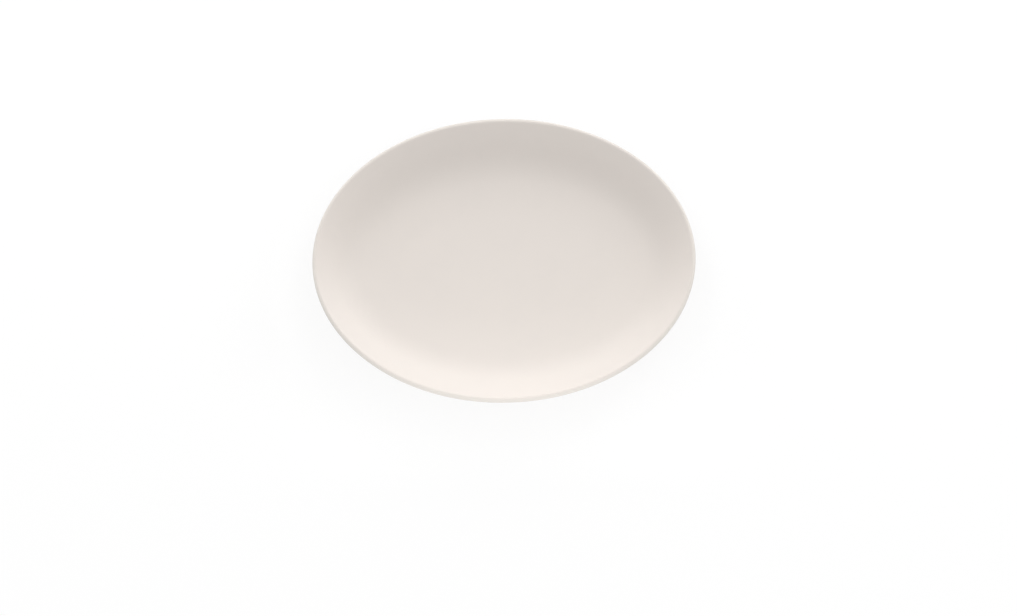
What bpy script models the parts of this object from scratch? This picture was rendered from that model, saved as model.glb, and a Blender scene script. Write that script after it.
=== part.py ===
"""Oval coupe serving platter in glazed porcelain.

The platter is drawn as one section, from the middle of the well out over the lip and back under to the
middle of the base. A point of the section is (out, up): out is measured from the tip of the lip along the
length, so it is negative inside the rim, and up is measured from the table. Every point becomes one oval
ring, and the rings are bridged into a solid. The section is the outer surface of the glaze, and the body
lies inside it by the glaze and a fit gap.

The length runs along X, the width along Y, and the platter stands on Z = 0.
"""

import math

import bmesh
import bpy
from mathutils import Matrix, Vector

MM = 0.001

# Outline of the lip, seen from above
LENGTH = 340 * MM
WIDTH = 275 * MM

# Heights, one on top of the other
FOOT_RECESS = 3.2 * MM        # table to the underside of the base, inside the foot
BASE_THICKNESS = 5.8 * MM     # in the middle of the well
WELL_DEPTH = 24 * MM          # top of the lip to the middle of the well

# The face along the length, from the lip inwards
FLARE_WIDTH = 12 * MM         # eased outer part of the rim
FLARE_DROP = 5.8 * MM         # its fall from the top of the lip
FLARE_RADIUS = 120 * MM
WALL_WIDTH = 19.5 * MM        # steep part of the rim, down to the cove
COVE_RADIUS = 40 * MM
DISH_WIDTH = 29 * MM          # gentle slope from the cove to the flat of the well
DISH_RISE = 3.2 * MM
DISH_RADIUS = 250 * MM
SIDE_RIM_WIDTH = 39 * MM      # lip to cove across the width, where the rim is broader than at the ends

# Walls
LIP_THICKNESS = 4.4 * MM      # the edge is fully round
WALL_THICKNESS = 5 * MM

# Foot ring
FOOT_INSET = 48 * MM          # tip of the lip to the outside of the standing edge
FOOT_WIDTH = 5 * MM           # across the standing edge
FOOT_DRAFT = 8                # degrees that each side leans off the vertical
FOOT_FILLET = 2.5 * MM        # where the foot meets the underside
FOOT_EDGE_RADIUS = 1.6 * MM
GLAZE_LINE = 1.5 * MM         # height of the wiped, bare edge above the table

# Glaze
GLAZE_THICKNESS = 0.3 * MM
FIT_GAP = 0.3 * MM            # between the glaze and the body

# Facets
RING_FACETS = 64
ARC_SAG = 0.12 * MM           # the most that a facet of the section stands off its arc
ARC_TURN = 30                 # the most degrees that the section turns from one facet to the next
SHARP_TURN = 40               # edges that turn by more degrees than this are shaded sharp
MERGE_DISTANCE = 0.01 * MM    # points of the section that lie closer are one point

# Finishes
GLAZE_COLOUR = (0.84, 0.785, 0.735)
GLAZE_ROUGHNESS = 0.12
BISCUIT_COLOUR = (0.83, 0.79, 0.73)
BISCUIT_ROUGHNESS = 0.6

# Worked out from the sizes above

SIDE_SPREAD = SIDE_RIM_WIDTH / (FLARE_WIDTH + WALL_WIDTH)
WELL_FLOOR = FOOT_RECESS + BASE_THICKNESS
LIP_TOP = WELL_FLOOR + WELL_DEPTH
BODY_DEPTH = GLAZE_THICKNESS + FIT_GAP


def left_of(direction):
    """The unit vector a quarter turn to the left, which is the outer side of the section."""
    return Vector((-direction.y, direction.x)).normalized()


def set_in(before, corner, after, depth):
    """The corner of the line that runs parallel to before-corner-after, at a depth under it."""
    first = left_of(corner - before)
    second = left_of(after - corner)
    return corner - (first + second) * depth / (1 + first.dot(second))


def where_lines_meet(point, direction, other_point, other_direction):
    across = left_of(other_direction)
    return point + direction * ((other_point - point).dot(across) / direction.dot(across))


def tangent_way(point, centre, radius, side):
    """The way from a point to where a line touches a circle, on its left (1) or right (-1) side."""
    reach = centre - point
    way = math.atan2(reach.y, reach.x) + side * math.asin(radius / reach.length)
    return Vector((math.cos(way), math.sin(way)))


def arc(corner, arriving, leaving, radius, room):
    """The rounding of one corner, as (point, outer normal) pairs.

    A radius that the straights on its two sides have no room for is made smaller.
    """
    normal = left_of(arriving)
    turn = -normal.angle_signed(left_of(leaving))
    tangent_share = math.tan(abs(turn) / 2)
    radius = min(radius, room / tangent_share)
    to_centre = math.copysign(radius, turn)
    centre = corner - arriving.normalized() * radius * tangent_share + normal * to_centre
    facet = min(math.radians(ARC_TURN), 2 * math.acos(1 - min(1, ARC_SAG / radius)))
    facets = math.ceil(abs(turn) / facet)
    spokes = [Matrix.Rotation(turn * step / facets, 2) @ normal for step in range(facets + 1)]
    return [(centre - spoke * to_centre, spoke) for spoke in spokes]


def rounded(corners):
    """The line through (corner, radius) pairs with its corners rounded, as (point, outer normal) pairs.

    Two corners share the straight between them. A corner has all of a straight that ends the line.
    """
    points = [corner for corner, _ in corners]
    straights = [after - before for before, after in zip(points, points[1:])]
    rooms = [straight.length / 2 for straight in straights]
    rooms[0] *= 2
    rooms[-1] *= 2
    stretches = [[(points[0], left_of(straights[0]))]]
    for index in range(1, len(corners) - 1):
        corner, radius = corners[index]
        room = min(rooms[index - 1], rooms[index])
        stretches.append(arc(corner, straights[index - 1], straights[index], radius, room))
    stretches.append([(points[-1], left_of(straights[-1]))])

    line = stretches[0]
    for stretch in stretches[1:]:
        touching = (stretch[0][0] - line[-1][0]).length < MERGE_DISTANCE
        line = line + stretch[touching:]
    return line


def under(line, depth):
    """The points of a rounded line, moved into the material by a depth."""
    return [point - normal * depth for point, normal in line]


def platter_section():
    """The glazed outside, the foot's edge and the glazed base, each as a rounded line."""
    # The face: the flat of the well starts where the rounding between it and the dish runs out
    flare = Vector((-FLARE_WIDTH, LIP_TOP - FLARE_DROP))
    cove = Vector((-FLARE_WIDTH - WALL_WIDTH, WELL_FLOOR + DISH_RISE))
    dish = Vector((cove.x - DISH_WIDTH, WELL_FLOOR))
    dish_slope = math.atan2(DISH_RISE, DISH_WIDTH)
    flat = dish - Vector((DISH_RADIUS * math.tan(dish_slope / 2), 0))
    under_cove = set_in(dish, cove, flare, WALL_THICKNESS)

    # The flare and its underside run into the round of the lip as tangents
    lip_radius = LIP_THICKNESS / 2
    lip_centre = Vector((-lip_radius, LIP_TOP - lip_radius))
    flare_way = tangent_way(flare, lip_centre, lip_radius, 1)
    under_flare = set_in(cove, flare, flare + flare_way, WALL_THICKNESS)
    under_way = tangent_way(under_flare, lip_centre, lip_radius, -1)
    lip_way = (flare_way + under_way).normalized()
    lip_end = lip_centre + lip_way * lip_radius
    lip_upper = where_lines_meet(flare, flare_way, lip_end, left_of(lip_way))
    lip_lower = where_lines_meet(under_flare, under_way, lip_end, left_of(lip_way))

    # The foot's sides lean in towards its standing edge, which is drawn as if it were glazed too
    lean = math.radians(FOOT_DRAFT)
    edge_outer = Vector((-FOOT_INSET, -BODY_DEPTH))
    edge_inner = edge_outer - Vector((FOOT_WIDTH, 0))
    outer_side = Vector((math.sin(lean), math.cos(lean)))
    inner_side = Vector((-math.sin(lean), math.cos(lean)))
    to_glaze_line = (GLAZE_LINE + BODY_DEPTH) / math.cos(lean)
    outer_line = edge_outer + outer_side * to_glaze_line
    inner_line = edge_inner + inner_side * to_glaze_line
    outer_root = where_lines_meet(edge_outer, outer_side, under_cove, dish - cove)
    base = Vector((flat.x, FOOT_RECESS))
    inner_root = where_lines_meet(edge_inner, inner_side, base, Vector((1, 0)))

    outside = rounded([
        (flat, 0),
        (dish, DISH_RADIUS),
        (cove, COVE_RADIUS),
        (flare, FLARE_RADIUS),
        (lip_upper, lip_radius),
        (lip_lower, lip_radius),
        (under_flare, FLARE_RADIUS - WALL_THICKNESS),
        (under_cove, COVE_RADIUS + WALL_THICKNESS),
        (outer_root, FOOT_FILLET),
        (outer_line, 0),
    ])
    edge = rounded([
        (outer_line, 0),
        (edge_outer, FOOT_EDGE_RADIUS),
        (edge_inner, FOOT_EDGE_RADIUS),
        (inner_line, 0),
    ])
    inside = rounded([(inner_line, 0), (inner_root, FOOT_FILLET), (base, 0)])
    return outside, edge, inside


def oval_ring(bm, point):
    """The corners of one level oval ring, at a point of the section."""
    half_length = LENGTH / 2 + point.x
    half_width = WIDTH / 2 + point.x * SIDE_SPREAD
    ring = []
    for step in range(RING_FACETS):
        turn = math.tau * step / RING_FACETS
        ring.append(bm.verts.new((half_length * math.cos(turn), half_width * math.sin(turn), point.y)))
    return ring


def loft(name, section, material):
    """A solid through the oval rings of a section, with its first and last ring filled."""
    bm = bmesh.new()
    rings = [oval_ring(bm, point) for point in section]
    bm.faces.new(rings[0])
    bm.faces.new(rings[-1][::-1])
    for ring, next_ring in zip(rings, rings[1:]):
        for index in range(RING_FACETS):
            bm.faces.new((ring[index - 1], next_ring[index - 1], next_ring[index], ring[index]))
    bmesh.ops.recalc_face_normals(bm, faces=bm.faces)
    mesh = bpy.data.meshes.new(name)
    bm.to_mesh(mesh)
    bm.free()
    mesh.shade_smooth()
    mesh.set_sharp_from_angle(angle=math.radians(SHARP_TURN))
    mesh.materials.append(material)
    piece = bpy.data.objects.new(name, mesh)
    bpy.context.collection.objects.link(piece)
    return piece


def coat(name, line, material):
    """A coat of glaze over a rounded line that starts in the middle of the platter."""
    return loft(name, under(line, 0) + under(line, GLAZE_THICKNESS)[::-1], material)


def finish(name, colour, roughness):
    material = bpy.data.materials.new(name)
    material.use_nodes = True
    shader = material.node_tree.nodes["Principled BSDF"]
    shader.inputs["Base Color"].default_value = (*colour, 1)
    shader.inputs["Roughness"].default_value = roughness
    shader.inputs["Metallic"].default_value = 0
    return material


def build():
    for old in list(bpy.data.objects):
        bpy.data.objects.remove(old)
    outside, edge, inside = platter_section()
    body_line = under(outside + edge[1:] + inside[1:], BODY_DEPTH)
    platter = bpy.data.objects.new("platter", None)
    bpy.context.collection.objects.link(platter)
    pieces = [
        loft("porcelain_body", body_line, finish("biscuit", BISCUIT_COLOUR, BISCUIT_ROUGHNESS)),
        coat("face_glaze", outside, finish("face_glaze", GLAZE_COLOUR, GLAZE_ROUGHNESS)),
        coat("base_glaze", inside[::-1], finish("base_glaze", GLAZE_COLOUR, GLAZE_ROUGHNESS)),
    ]
    for piece in pieces:
        piece.parent = platter


build()
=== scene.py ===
import math

import bpy
from mathutils import Matrix, Vector


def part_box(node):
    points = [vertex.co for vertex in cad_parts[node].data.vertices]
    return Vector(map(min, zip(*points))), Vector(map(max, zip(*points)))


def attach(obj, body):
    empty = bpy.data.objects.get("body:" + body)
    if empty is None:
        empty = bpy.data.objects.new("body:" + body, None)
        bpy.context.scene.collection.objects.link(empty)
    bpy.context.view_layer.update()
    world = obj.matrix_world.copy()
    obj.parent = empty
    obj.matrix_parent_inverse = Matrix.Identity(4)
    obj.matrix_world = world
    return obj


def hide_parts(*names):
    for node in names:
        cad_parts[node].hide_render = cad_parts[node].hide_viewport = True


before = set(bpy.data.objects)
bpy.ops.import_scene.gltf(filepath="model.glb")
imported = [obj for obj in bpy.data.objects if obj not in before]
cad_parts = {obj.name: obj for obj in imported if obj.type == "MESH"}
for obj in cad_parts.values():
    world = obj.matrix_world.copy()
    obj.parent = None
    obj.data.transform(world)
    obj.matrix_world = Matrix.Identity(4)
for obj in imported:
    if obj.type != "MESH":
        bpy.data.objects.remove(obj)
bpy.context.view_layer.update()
print("frame loaded:", sorted(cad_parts))

mm = 0.001
halfLength, halfWidth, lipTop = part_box("face_glaze")[1]


# The section that the body and both coats of glaze follow, drawn as (out, up):
# out is measured from the tip of the lip, up from the table

section = {
    "wellFloor": 9 * mm,
    "flareWidth": 12 * mm,
    "flareDrop": 5.8 * mm,
    "flareRadius": 120 * mm,
    "wallWidth": 19.5 * mm,
    "coveRadius": 40 * mm,
    "dishWidth": 29 * mm,
    "dishRise": 3.2 * mm,
    "dishRadius": 250 * mm,
    "sideRimWidth": 39 * mm,
    "lipThickness": 4.4 * mm,
    "wallThickness": 5 * mm,
    "footInset": 48 * mm,
    "footWidth": 5 * mm,
    "footLean": math.radians(8),
    "footFillet": 2.5 * mm,    # outside the foot
    "baseFillet": 1.9 * mm,    # inside it
    "footEdge": 1.6 * mm,
    "footRecess": 3.2 * mm,
    "glazeLine": 1.5 * mm,     # height of the bare edge
    "bodyDepth": 0.6 * mm,     # glazed surface to the body under it
    "bareDepth": 0.3 * mm,     # step from the glaze down to the bare edge
    "bareStart": 0.02 * mm,    # how far under the glaze line the bare edge starts
    "lineStep": 1.5 * mm,      # ring to ring, at most
    "arcStep": math.radians(9),
    "samePoint": 0.001 * mm,   # points that lie closer are one
    "easePasses": 14,          # softens the face where arcs meet straights
}


def leftOf(way):
    return Vector((-way.y, way.x)).normalized()


def parallelCorner(before, corner, after, depth):
    first, second = leftOf(corner - before), leftOf(after - corner)
    return corner - (first + second) * depth / (1 + first.dot(second))


def linesMeet(point, way, otherPoint, otherWay):
    across = leftOf(otherWay)
    return point + way * ((otherPoint - point).dot(across) / way.dot(across))


def touchPoint(point, centre, radius, side):     # where a line from the point touches a circle
    reach = centre - point
    turn = math.atan2(reach.y, reach.x) + side * math.asin(radius / reach.length)
    run = math.sqrt(reach.length_squared - radius ** 2)
    return point + Vector((math.cos(turn), math.sin(turn))) * run


def arcPoints(centre, spoke, turn):              # spoke swings round the centre
    byTurn = abs(turn) / section["arcStep"]
    byLength = abs(turn) * spoke.length / section["lineStep"]
    steps = math.ceil(max(byTurn, byLength))
    return [centre + Matrix.Rotation(turn * step / steps, 2) @ spoke for step in range(steps + 1)]


def drawnLine(corners):                          # straights and arcs through (corner, radius)
    line = [corners[0][0]]
    for (before, _), (corner, radius), (after, _) in zip(corners, corners[1:], corners[2:]):
        arriving, leaving = (corner - before).normalized(), (after - corner).normalized()
        across = arriving.x * leaving.y - arriving.y * leaving.x
        turn = math.atan2(across, arriving.dot(leaving))
        start = corner - arriving * radius * math.tan(abs(turn) / 2)
        toCentre = leftOf(arriving) * math.copysign(radius, turn)
        line += [None] + arcPoints(start + toCentre, -toCentre, turn)
    line += [None, corners[-1][0]]
    filled = [line[0]]
    for index, point in enumerate(line[1:], 1):
        if point is None:                        # a straight, cut to even steps
            start, end = line[index - 1], line[index + 1]
            steps = math.ceil((end - start).length / section["lineStep"])
            filled += [start.lerp(end, step / steps) for step in range(1, steps)]
        elif (point - filled[-1]).length > section["samePoint"]:
            filled.append(point)
    return filled


def eased(values, passes):                       # each with its neighbours, the ends stay
    for _ in range(passes):
        middle = [(a + b * 2 + c) / 4 for a, b, c in zip(values, values[1:], values[2:])]
        values = [values[0]] + middle + [values[-1]]
    return values


def setUnder(line, depth):
    ways = [after - before for before, after in zip([line[0]] + line, line[1:] + [line[-1]])]
    return [point - leftOf(way) * depth for point, way in zip(line, ways)]


flare = Vector((-section["flareWidth"], lipTop - section["flareDrop"]))
cove = Vector((flare.x - section["wallWidth"], section["wellFloor"] + section["dishRise"]))
dish = Vector((cove.x - section["dishWidth"], section["wellFloor"]))
dishSlope = math.atan2(section["dishRise"], section["dishWidth"])
flat = dish - Vector((section["dishRadius"] * math.tan(dishSlope / 2), 0))

lipRadius = section["lipThickness"] / 2
lipCentre = Vector((-lipRadius, lipTop - lipRadius))
faceEnd = touchPoint(flare, lipCentre, lipRadius, 1)
underCove = parallelCorner(dish, cove, flare, section["wallThickness"])
underFlare = parallelCorner(cove, flare, faceEnd, section["wallThickness"])
underStart = touchPoint(underFlare, lipCentre, lipRadius, -1)

outerSide = Vector((math.sin(section["footLean"]), math.cos(section["footLean"])))
innerSide = Vector((-outerSide.x, outerSide.y))
outerTip = Vector((-section["footInset"], -section["bodyDepth"]))
innerTip = outerTip - Vector((section["footWidth"], 0))
toGlazeLine = (section["glazeLine"] + section["bodyDepth"]) / outerSide.y
toBareStart = toGlazeLine - section["bareStart"]
toBareTip = (section["bodyDepth"] - section["bareDepth"]) / outerSide.y
base = Vector((flat.x, section["footRecess"]))
outerRoot = linesMeet(outerTip, outerSide, underCove, dish - cove)
innerRoot = linesMeet(innerTip, innerSide, base, Vector((1, 0)))

faceLine = drawnLine([
    (flat - Vector((section["lineStep"], 0)), 0),
    (dish, section["dishRadius"]),
    (cove, section["coveRadius"]),
    (flare, section["flareRadius"]),
    (faceEnd, 0),
])
faceLine = eased(faceLine, section["easePasses"])
lipTurn = (faceEnd - lipCentre).angle_signed(underStart - lipCentre)
lipLine = arcPoints(lipCentre, faceEnd - lipCentre, -lipTurn % math.tau - math.tau)[1:-1]
outsideLine = drawnLine([
    (underStart, 0),
    (underFlare, section["flareRadius"] - section["wallThickness"]),
    (underCove, section["coveRadius"] + section["wallThickness"]),
    (outerRoot, section["footFillet"]),
    (outerTip + outerSide * toGlazeLine, 0),
])
bareLine = drawnLine([
    (outerTip + outerSide * toBareStart, 0),
    (outerTip + outerSide * toBareTip, section["footEdge"]),
    (innerTip + innerSide * toBareTip, section["footEdge"]),
    (innerTip + innerSide * toBareStart, 0),
])
baseLine = drawnLine([
    (innerTip + innerSide * toGlazeLine, 0),
    (innerRoot, section["baseFillet"]),
    (base, 0),
])
print("section drawn:", len(faceLine + lipLine + outsideLine + bareLine + baseLine), "points")


# Rings of the section, extruded one after the other

oval = {
    "segments": 192,
    "hubRings": 10,            # from the pole to the flat of the well or base
    "hubSag": 0.15 * mm,       # how far the middle sank in the kiln
    "sideSpread": section["sideRimWidth"] / (section["flareWidth"] + section["wallWidth"]),
    "warpSize": 0.16,          # rim's rise and fall, from hump to hump
    "warpHeight": 0.8 * mm,
    "warpLevel": 0.85,         # keeps the rim at or under its drawn height
    "sharpAngle": math.radians(50),
}

firingWarp = bpy.data.textures.new("firingWarp", "CLOUDS")
firingWarp.noise_scale = oval["warpSize"]
firingWarp.noise_depth = 1


def ovalAt(point):             # half-axes and height of one ring
    return halfLength + point.x, halfWidth + point.x * oval["sideSpread"], point.y


def hubOvals(point):           # rings from the pole out to a point of the section
    length, width, height = ovalAt(point)
    rings = []
    for ring in range(1, oval["hubRings"]):
        share = ring / oval["hubRings"]
        sag = oval["hubSag"] * (1 - share ** 2)
        rings.append((length * share, width * share, height - sag))
    return rings


def startAtPole(name, ring):
    bpy.ops.object.select_all(action="DESELECT")
    bpy.ops.mesh.primitive_circle_add(vertices=oval["segments"], radius=1, fill_type="TRIFAN")
    piece = bpy.context.object
    piece.name = piece.data.name = name
    bpy.ops.object.mode_set(mode="EDIT")
    bpy.ops.mesh.select_all(action="SELECT")
    bpy.ops.transform.resize(value=(ring[0], ring[1], 1))
    bpy.ops.transform.translate(value=(0, 0, ring[2]))
    bpy.ops.mesh.region_to_loop()
    return piece


def extrudeUp(height):
    bpy.ops.mesh.extrude_edges_move(TRANSFORM_OT_translate={"value": (0, 0, height)})


def extrudeRings(rings):       # the last ring's edges are selected
    for (length, width, height), (newLength, newWidth, newHeight) in zip(rings, rings[1:]):
        extrudeUp(newHeight - height)
        growth = (newLength / length, newWidth / width, 1)
        bpy.ops.transform.resize(value=growth, center_override=(0, 0, newHeight))


def closeAtPole():
    extrudeUp(0)
    bpy.ops.mesh.merge(type="CENTER")


def warpRim(piece):            # the rim moves, the foot stays on the table
    rim = piece.vertex_groups.new(name="rim")
    footOut = halfLength - section["footInset"]
    for corner in piece.data.vertices:
        out = math.hypot(corner.co.x, corner.co.y * halfLength / halfWidth)
        share = min(1, max(0, (out - footOut) / section["footInset"]))
        share = share ** 2 * (3 - 2 * share)         # starts and ends softly
        rim.add([corner.index], share, "REPLACE")
    warp = piece.modifiers.new("firingWarp", "DISPLACE")
    warp.texture = firingWarp
    warp.texture_coords = "LOCAL"
    warp.direction = "Z"
    warp.strength = oval["warpHeight"]
    warp.mid_level = oval["warpLevel"]
    warp.vertex_group = rim.name
    bpy.ops.object.modifier_apply(modifier=warp.name)
    piece.vertex_groups.clear()


def thickenCoat(piece, coat):
    wall = piece.modifiers.new("coatDepth", "SOLIDIFY")
    wall.thickness = coat["depth"]
    wall.offset = -1
    wall.use_even_offset = True
    bpy.ops.object.modifier_apply(modifier=wall.name)
    bead = piece.modifiers.new("bead", "BEVEL")
    bead.width = coat["bead"]
    bead.segments = coat["beadSegments"]
    bead.limit_method = "ANGLE"
    bead.angle_limit = coat["beadAngle"]
    bpy.ops.object.modifier_apply(modifier=bead.name)


# Pooled in hollows (1), thin where an edge looks outwards (-1), and painted lighter there as a
# glow that stands in for light through the lip
def layGlazeAndGlow(piece, hubCount, line, coat):
    depths = [0.0] * len(line)
    for index in range(1, len(line) - 1):
        arriving, leaving = line[index] - line[index - 1], line[index + 1] - line[index]
        bend = -arriving.angle_signed(leaving) / (arriving.length + leaving.length) * 2
        depth = min(1, max(-1, bend * coat["flow"] * coat["side"]))
        # painted glow: outward-looking edges get the thin, lighter tint, which stands in for
        # light through the lip
        drainedAndGlow = min(1, max(0, leftOf(arriving + leaving).x * coat["side"] + coat["drainAndGlow"]))
        depths[index] = depth if depth > 0 else depth * drainedAndGlow
    depths = [0.0] * hubCount + eased(depths, coat["flowPasses"])
    lay = piece.data.attributes.new("glazeDepthAndGlow", "FLOAT", "POINT")
    lay.data[0].value = 0
    for index in range(1, len(piece.data.vertices)):
        lay.data[index].value = depths[(index - 1) // oval["segments"]]


def finishPiece(piece, material, node):
    bpy.ops.object.shade_smooth_by_angle(angle=oval["sharpAngle"])
    piece.data.materials.append(material)
    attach(piece, "root")
    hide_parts(node)
    print(piece.name, "made:", len(piece.data.polygons), "faces")


# Small helpers for the materials

def newMaterial(name):
    material = bpy.data.materials.new(name)
    material.use_nodes = True
    return material, material.node_tree


def addNode(tree, kind, **settings):
    node = tree.nodes.new(kind)
    for setting, value in settings.items():
        setattr(node, setting, value)
    return node


def noiseOf(tree, coords, scale, detail, roughness=0.5):
    noise = addNode(tree, "ShaderNodeTexNoise")
    noise.inputs["Scale"].default_value = scale
    noise.inputs["Detail"].default_value = detail
    noise.inputs["Roughness"].default_value = roughness
    tree.links.new(coords, noise.inputs["Vector"])
    return noise.outputs["Fac"]


def spread(tree, source, low, high, toLow=0, toHigh=1):      # one range laid out over another
    ranged = addNode(tree, "ShaderNodeMapRange", interpolation_type="SMOOTHSTEP")
    for index, value in enumerate((low, high, toLow, toHigh), 1):
        ranged.inputs[index].default_value = value
    tree.links.new(source, ranged.inputs[0])
    return ranged.outputs[0]


def times(tree, first, second):
    product = addNode(tree, "ShaderNodeMath", operation="MULTIPLY")
    for socket, source in zip(product.inputs, (first, second)):
        if isinstance(source, float):
            socket.default_value = source
        else:
            tree.links.new(source, socket)
    return product.outputs[0]


def tinted(tree, factor, base, tint):                # base at a factor of 0, tint at 1
    mix = addNode(tree, "ShaderNodeMix", data_type="RGBA")
    tree.links.new(factor, mix.inputs[0])
    for socket, colour in zip(mix.inputs[6:8], (base, tint)):
        if isinstance(colour, tuple):
            socket.default_value = (*colour, 1)
        else:
            tree.links.new(colour, socket)
    return mix.outputs[2]


def bumped(tree, height, strength, distance, under=None, sunken=False):
    bump = addNode(tree, "ShaderNodeBump", invert=sunken)
    bump.inputs["Strength"].default_value = strength
    bump.inputs["Distance"].default_value = distance
    tree.links.new(height, bump.inputs["Height"])
    if under:
        tree.links.new(under, bump.inputs["Normal"])
    return bump.outputs["Normal"]


def specksOf(tree, coords, scale, size, share):      # dots at the points of a scattered grid
    core, pickEdge = 0.4 * size, 0.01                # solid middle of a dot, cut-off of the draw
    cells = addNode(tree, "ShaderNodeTexVoronoi")
    cells.inputs["Scale"].default_value = scale
    tree.links.new(coords, cells.inputs["Vector"])
    dot = spread(tree, cells.outputs["Distance"], core, size, 1, 0)
    chance = addNode(tree, "ShaderNodeSeparateColor")
    tree.links.new(cells.outputs["Color"], chance.inputs[0])
    picked = spread(tree, chance.outputs[0], 1 - share, 1 - share + pickEdge)
    return times(tree, dot, picked)


# Glaze: clear and glossy, off-white, pooled in the hollows, thin on the lip and painted lighter
# there as a glow

faceLook = {
    "colour": (0.844, 0.783, 0.733),
    "blush": (0.850, 0.788, 0.736),      # drifts over the platter from the kiln's flame
    "driftScale": 7.0,
    "cloud": (0.834, 0.775, 0.725),
    "cloudScale": 38.0,
    "cloudShare": 0.7,
    "thinAndGlow": (0.93, 0.885, 0.825),        # body shows through on the lip, plus a painted glow for light through it
    "pooled": (0.827, 0.765, 0.714),
    "depthShare": 0.8,                   # the most that pooled glaze, and the thin lip with its painted glow, tint
    "speck": (0.42, 0.34, 0.25),
    "speckScale": 190.0,
    "speckSize": 0.055,                  # of the grid's step
    "speckShare": 0.4,                   # of the grid's points
    "speckStrength": 0.35,
    "smearScale": 26.0,
    "roughLow": 0.10,
    "roughHigh": 0.17,
    "bumpStrength": 0.5,
    "waveScale": 55.0,
    "waveHeight": 0.12 * mm,
    "peelScale": 420.0,
    "peelHeight": 0.05 * mm,
    "pitScale": 260.0,
    "pitSize": 0.06,
    "pitShare": 0.5,
    "pitDepth": 0.05 * mm,
    "ior": 1.5,
}

baseLook = {
    **faceLook,
    "blush": (0.845, 0.785, 0.735),
    "cloud": (0.815, 0.77, 0.72),
    "speckShare": 0.8,
    "speckStrength": 0.5,
    "roughLow": 0.12,
    "roughHigh": 0.22,
    "peelHeight": 0.08 * mm,
}


def makeGlaze(name, look):
    material, tree = newMaterial(name)
    shader = tree.nodes["Principled BSDF"]
    coords = addNode(tree, "ShaderNodeTexCoord").outputs["Object"]
    depth = addNode(tree, "ShaderNodeAttribute", attribute_name="glazeDepthAndGlow").outputs["Fac"]

    drift = noiseOf(tree, coords, look["driftScale"], detail=1.0)
    drift = spread(tree, drift, low=0.35, high=0.65)
    clouds = noiseOf(tree, coords, look["cloudScale"], detail=4.0, roughness=0.6)
    clouds = spread(tree, clouds, low=0.45, high=0.75, toHigh=look["cloudShare"])
    pooled = spread(tree, depth, low=0.1, high=1, toHigh=look["depthShare"])
    # painted glow on the lip: thin glaze made lighter, standing in for light through the
    # porcelain
    thinAndGlowMask = spread(tree, depth, low=-0.3, high=-1, toHigh=look["depthShare"])
    specks = specksOf(tree, coords, look["speckScale"], look["speckSize"], look["speckShare"])
    colour = tinted(tree, drift, look["colour"], look["blush"])
    colour = tinted(tree, clouds, colour, look["cloud"])
    colour = tinted(tree, pooled, colour, look["pooled"])
    colour = tinted(tree, thinAndGlowMask, colour, look["thinAndGlow"])
    colour = tinted(tree, times(tree, specks, look["speckStrength"]), colour, look["speck"])
    tree.links.new(colour, shader.inputs["Base Color"])

    smears = noiseOf(tree, coords, look["smearScale"], detail=3.0, roughness=0.6)
    smears = spread(tree, smears, 0.3, 0.7, look["roughLow"], look["roughHigh"])
    tree.links.new(smears, shader.inputs["Roughness"])

    waves = noiseOf(tree, coords, look["waveScale"], detail=1.0)
    peel = noiseOf(tree, coords, look["peelScale"], detail=1.0)
    pits = specksOf(tree, coords, look["pitScale"], look["pitSize"], look["pitShare"])
    surface = bumped(tree, waves, look["bumpStrength"], look["waveHeight"])
    surface = bumped(tree, peel, look["bumpStrength"], look["peelHeight"], surface)
    surface = bumped(tree, pits, look["bumpStrength"], look["pitDepth"], surface, sunken=True)
    tree.links.new(surface, shader.inputs["Normal"])
    shader.inputs["IOR"].default_value = look["ior"]
    return material


# Biscuit: the bare, fired body, ground smooth where the platter stands

biscuitLook = {
    "colour": (0.83, 0.79, 0.73),
    "sandy": (0.76, 0.70, 0.62),
    "blotchScale": 60.0,
    "blotchShare": 0.7,
    "grainScale": 1700.0,
    "grainShare": 0.8,
    "grainStrength": 0.6,
    "grainHeight": 0.06 * mm,
    "scuffed": (0.66, 0.63, 0.59),
    "scuffScale": 130.0,
    "scuffShare": 0.6,
    "scuffLow": 0.05 * mm,     # rubbed up to here above the table
    "scuffHigh": 0.4 * mm,     # and not from here on
    "roughLow": 0.55,
    "roughHigh": 0.75,
}


def makeBiscuit(name, look):
    material, tree = newMaterial(name)
    shader = tree.nodes["Principled BSDF"]
    coords = addNode(tree, "ShaderNodeTexCoord").outputs["Object"]
    place = addNode(tree, "ShaderNodeSeparateXYZ")
    tree.links.new(coords, place.inputs[0])
    up = place.outputs["Z"]

    blotches = noiseOf(tree, coords, look["blotchScale"], detail=3.0, roughness=0.6)
    blotches = spread(tree, blotches, low=0.4, high=0.7, toHigh=look["blotchShare"])
    grains = noiseOf(tree, coords, look["grainScale"], detail=2.0)
    grains = spread(tree, grains, low=0.5, high=0.75, toHigh=look["grainShare"])
    edge = spread(tree, up, look["scuffLow"], look["scuffHigh"], look["scuffShare"], 0)
    scuffs = noiseOf(tree, coords, look["scuffScale"], detail=4.0, roughness=0.7)
    scuffs = times(tree, edge, spread(tree, scuffs, low=0.45, high=0.7))
    colour = tinted(tree, blotches, look["colour"], look["sandy"])
    colour = tinted(tree, grains, colour, look["sandy"])
    colour = tinted(tree, scuffs, colour, look["scuffed"])
    tree.links.new(colour, shader.inputs["Base Color"])

    ground = spread(tree, edge, 0, look["scuffShare"], look["roughHigh"], look["roughLow"])
    tree.links.new(ground, shader.inputs["Roughness"])
    grain = noiseOf(tree, coords, look["grainScale"], detail=3.0, roughness=0.6)
    grain = bumped(tree, grain, look["grainStrength"], look["grainHeight"])
    tree.links.new(grain, shader.inputs["Normal"])
    return material


# Face glaze: the well, the rim, the lip and the outside down to the glaze line

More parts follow.
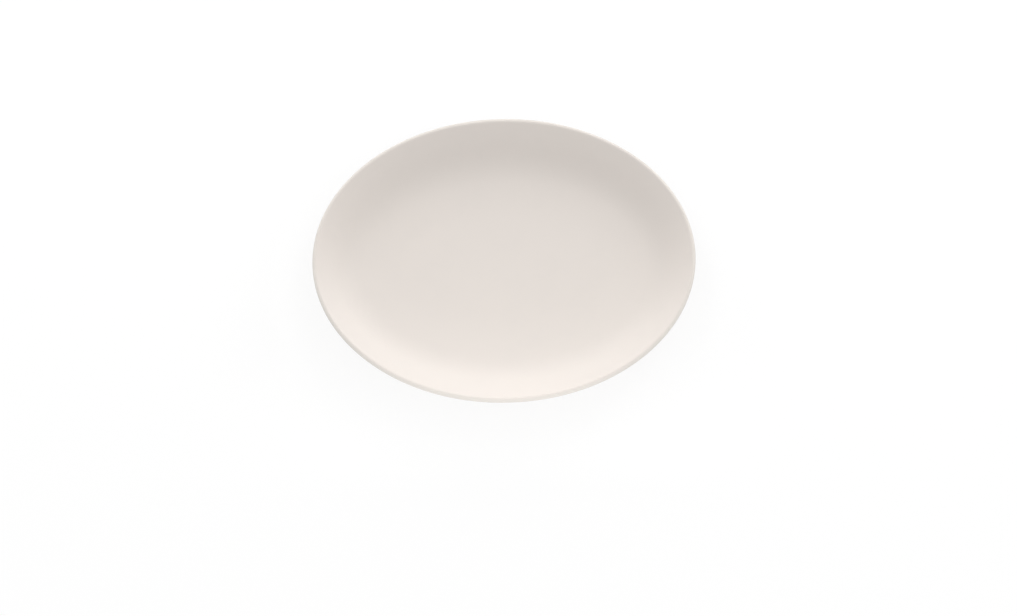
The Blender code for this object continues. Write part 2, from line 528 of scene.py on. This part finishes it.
faceCoat = {
    "depth": 0.58 * mm,
    "bead": 0.22 * mm,
    "beadSegments": 4,
    "beadAngle": math.radians(60),
    "flow": 20 * mm,           # hollows of this radius are fully pooled
    "flowPasses": 4,
    "drainAndGlow": 0.4,              # how far the thin edge with its painted glow reaches up over the lip
    "side": 1,                 # glaze lies to the left of the line
}

line = faceLine + lipLine + outsideLine
rings = hubOvals(line[0]) + [ovalAt(point) for point in line]
faceGlaze = startAtPole("faceGlaze", rings[0])
extrudeRings(rings)
bpy.ops.object.mode_set(mode="OBJECT")
layGlazeAndGlow(faceGlaze, len(rings) - len(line), line, faceCoat)
warpRim(faceGlaze)
thickenCoat(faceGlaze, faceCoat)
finishPiece(faceGlaze, makeGlaze("faceGlaze", faceLook), "face_glaze")


# Base glaze: the underside inside the foot

baseCoat = {
    **faceCoat,
    "drainAndGlow": 0.0,
    "side": -1,
}

line = baseLine[::-1]
rings = hubOvals(line[0]) + [ovalAt(point) for point in line]
baseGlaze = startAtPole("baseGlaze", rings[0])
extrudeRings(rings)
bpy.ops.mesh.select_all(action="SELECT")
bpy.ops.mesh.flip_normals()                          # the base looks down
bpy.ops.object.mode_set(mode="OBJECT")
layGlazeAndGlow(baseGlaze, len(rings) - len(line), line, baseCoat)
thickenCoat(baseGlaze, baseCoat)
finishPiece(baseGlaze, makeGlaze("baseGlaze", baseLook), "base_glaze")


# Porcelain body: inside the coats, with the bare edge of the foot showing

bodyLine = setUnder(faceLine + lipLine + outsideLine, section["bodyDepth"])
bodyLine += setUnder(bareLine, section["bareDepth"])
bodyLine += setUnder(baseLine, section["bodyDepth"])
rings = hubOvals(bodyLine[0]) + [ovalAt(point) for point in bodyLine]
rings += hubOvals(bodyLine[-1])[::-1]
porcelainBody = startAtPole("porcelainBody", rings[0])
extrudeRings(rings)
closeAtPole()
bpy.ops.object.mode_set(mode="OBJECT")
warpRim(porcelainBody)
finishPiece(porcelainBody, makeBiscuit("biscuit", biscuitLook), "porcelain_body")


# Floor: white to the camera, with the platter's faint shadow

floorLook = {
    "size": 12.0,
    "colour": 0.9,
    "shadowShare": 0.15,       # how much of the shadow the camera sees
    "whiteShare": 0.87,        # the rest of what it sees
}


def seenDirectly(tree):        # 1 for what the camera, a reflection or a clear surface sees
    path = addNode(tree, "ShaderNodeLightPath")
    seen = path.outputs["Is Camera Ray"]
    for ray in ("Is Glossy Ray", "Is Transmission Ray"):
        either = addNode(tree, "ShaderNodeMath", operation="MAXIMUM")
        tree.links.new(seen, either.inputs[0])
        tree.links.new(path.outputs[ray], either.inputs[1])
        seen = either.outputs[0]
    return seen


def mixBySight(tree, lighting, seen, surface):       # what gives light, and what is seen instead
    mix = addNode(tree, "ShaderNodeMixShader")
    tree.links.new(seenDirectly(tree), mix.inputs[0])
    tree.links.new(lighting, mix.inputs[1])
    tree.links.new(seen, mix.inputs[2])
    tree.links.new(mix.outputs[0], surface)


def newPaper(name):            # a material with no shader in it yet
    material, tree = newMaterial(name)
    tree.nodes.remove(tree.nodes["Principled BSDF"])
    return material, tree, tree.nodes["Material Output"].inputs["Surface"]


def matte(tree, shade):
    paper = addNode(tree, "ShaderNodeBsdfDiffuse")
    paper.inputs["Color"].default_value = (shade, shade, shade, 1)
    return paper.outputs[0]


bpy.ops.object.select_all(action="DESELECT")
bpy.ops.mesh.primitive_plane_add(size=floorLook["size"])
floor = bpy.context.object
floor.name = "floor"
floorPaper, tree, surface = newPaper("floor")
white = addNode(tree, "ShaderNodeEmission")
white.inputs["Strength"].default_value = floorLook["whiteShare"]
shaded = addNode(tree, "ShaderNodeAddShader")
tree.links.new(matte(tree, floorLook["shadowShare"]), shaded.inputs[0])
tree.links.new(white.outputs[0], shaded.inputs[1])
mixBySight(tree, matte(tree, floorLook["colour"]), shaded.outputs[0], surface)
floor.data.materials.append(floorPaper)
print("floor laid")


# Card: a white strip round the back and the ends of the rim, out of the picture,
# that keeps the low light off the lip there

cardLook = {
    "segments": 96,
    "gap": 25 * mm,            # lip to card
    "bottom": 20 * mm,
    "top": 41 * mm,
    "openFront": 0.34,         # share of the half width in front of the middle where it ends
    "colour": 0.8,
}

bpy.ops.object.select_all(action="DESELECT")
bpy.ops.mesh.primitive_circle_add(vertices=cardLook["segments"], radius=1)
card = bpy.context.object
card.name = "card"
bpy.ops.object.mode_set(mode="EDIT")
bpy.ops.mesh.select_all(action="DESELECT")
bpy.ops.object.mode_set(mode="OBJECT")
for corner in card.data.vertices:
    corner.select = corner.co.y < -cardLook["openFront"]
bpy.ops.object.mode_set(mode="EDIT")
bpy.ops.mesh.delete(type="VERT")
bpy.ops.mesh.select_all(action="SELECT")
cardHalves = (halfLength + cardLook["gap"], halfWidth + cardLook["gap"], 1)
bpy.ops.transform.resize(value=cardHalves, center_override=(0, 0, 0))
bpy.ops.transform.translate(value=(0, 0, cardLook["bottom"]))
extrudeUp(cardLook["top"] - cardLook["bottom"])
bpy.ops.object.mode_set(mode="OBJECT")
cardPaper, tree, surface = newPaper("card")
tree.links.new(matte(tree, cardLook["colour"]), surface)
card.data.materials.append(cardPaper)
card.visible_camera = False
card.visible_glossy = False
card.visible_transmission = False
print("card set up:", len(card.data.polygons), "faces")


# Light: a white tent with a wide lamp low behind it, two soft boxes higher up,
# and a small strip close in front that fills the near edge of the lip

tent = {
    "colour": (1, 1, 1, 1),
    "strength": 0.623,
    "seenStrength": 1,         # to the camera and in reflections
}

lamps = {
    "backWall": {
        "turn": 10,            # degrees from straight behind, towards the right
        "height": 18,          # degrees above the table
        "distance": 2.6,
        "width": 5.0,
        "depth": 1.5,
        "power": 50.1,
    },
    "leftBox": {
        "turn": -38,
        "height": 40,
        "distance": 2.6,
        "width": 1.4,
        "depth": 1.4,
        "power": 5.1,
    },
    "rightBox": {
        "turn": 38,
        "height": 40,
        "distance": 2.6,
        "width": 1.4,
        "depth": 1.4,
        "power": 10.0,
    },
    "edgeStrip": {
        "turn": 180,
        "height": 22,
        "distance": 0.195,
        "width": 0.34,
        "depth": 0.04,
        "power": 0.037,
    },
}


def wayTo(turn, height):       # degrees from straight behind, and above the table
    turn, height = math.radians(turn), math.radians(height)
    level = math.cos(height)
    return Vector((math.sin(turn) * level, math.cos(turn) * level, math.sin(height)))


world = bpy.data.worlds.new("tent")
bpy.context.scene.world = world
world.use_nodes = True
tree = world.node_tree
light = tree.nodes["Background"]
light.inputs["Color"].default_value = tent["colour"]
light.inputs["Strength"].default_value = tent["strength"]
backdrop = addNode(tree, "ShaderNodeBackground")
backdrop.inputs["Color"].default_value = tent["colour"]
backdrop.inputs["Strength"].default_value = tent["seenStrength"]
surface = tree.nodes["World Output"].inputs["Surface"]
mixBySight(tree, light.outputs[0], backdrop.outputs[0], surface)

for name, lamp in lamps.items():
    way = wayTo(lamp["turn"], lamp["height"])
    facing = way.to_track_quat("Z", "Y").to_euler()
    bpy.ops.object.light_add(type="AREA", location=way * lamp["distance"], rotation=facing)
    box = bpy.context.object
    box.name = name
    box.data.shape = "RECTANGLE"
    box.data.size = lamp["width"]
    box.data.size_y = lamp["depth"]
    box.data.energy = lamp["power"]
    box.visible_camera = False
    box.visible_glossy = False       # reflections show the white tent
print("lights set")


# Camera: from the front and above, framed as in the photograph

shot = {
    "imageWidth": 1017,
    "imageHeight": 616,
    "platterX": 504.05,        # pixels, middle of the platter's outline
    "platterY": 259.2,
    "platterHalf": 191.7,      # pixels, half of its length
    "turn": 181.65,            # degrees, as for the lamps
    "height": 66.65,
    "lens": 200,
    "sensor": 36,
    "clipEnd": 50,
}

facing = wayTo(shot["turn"], shot["height"]).to_track_quat("Z", "Y")
pixel = halfLength / shot["platterHalf"]             # metres, at the lip
distance = shot["lens"] * shot["imageWidth"] / shot["sensor"] * pixel
aside = shot["imageWidth"] / 2 - shot["platterX"]
above = shot["platterY"] - shot["imageHeight"] / 2
stand = facing @ Vector((aside * pixel, above * pixel, distance))
lip = Vector((0, 0, lipTop - lipRadius))
bpy.ops.object.camera_add(location=lip + stand, rotation=facing.to_euler())
camera = bpy.context.object
camera.data.lens = shot["lens"]
camera.data.sensor_width = shot["sensor"]
camera.data.clip_end = shot["clipEnd"]
bpy.context.scene.camera = camera
bpy.context.scene.view_settings.view_transform = "Standard"
print("camera set", round(distance, 3), "m away")
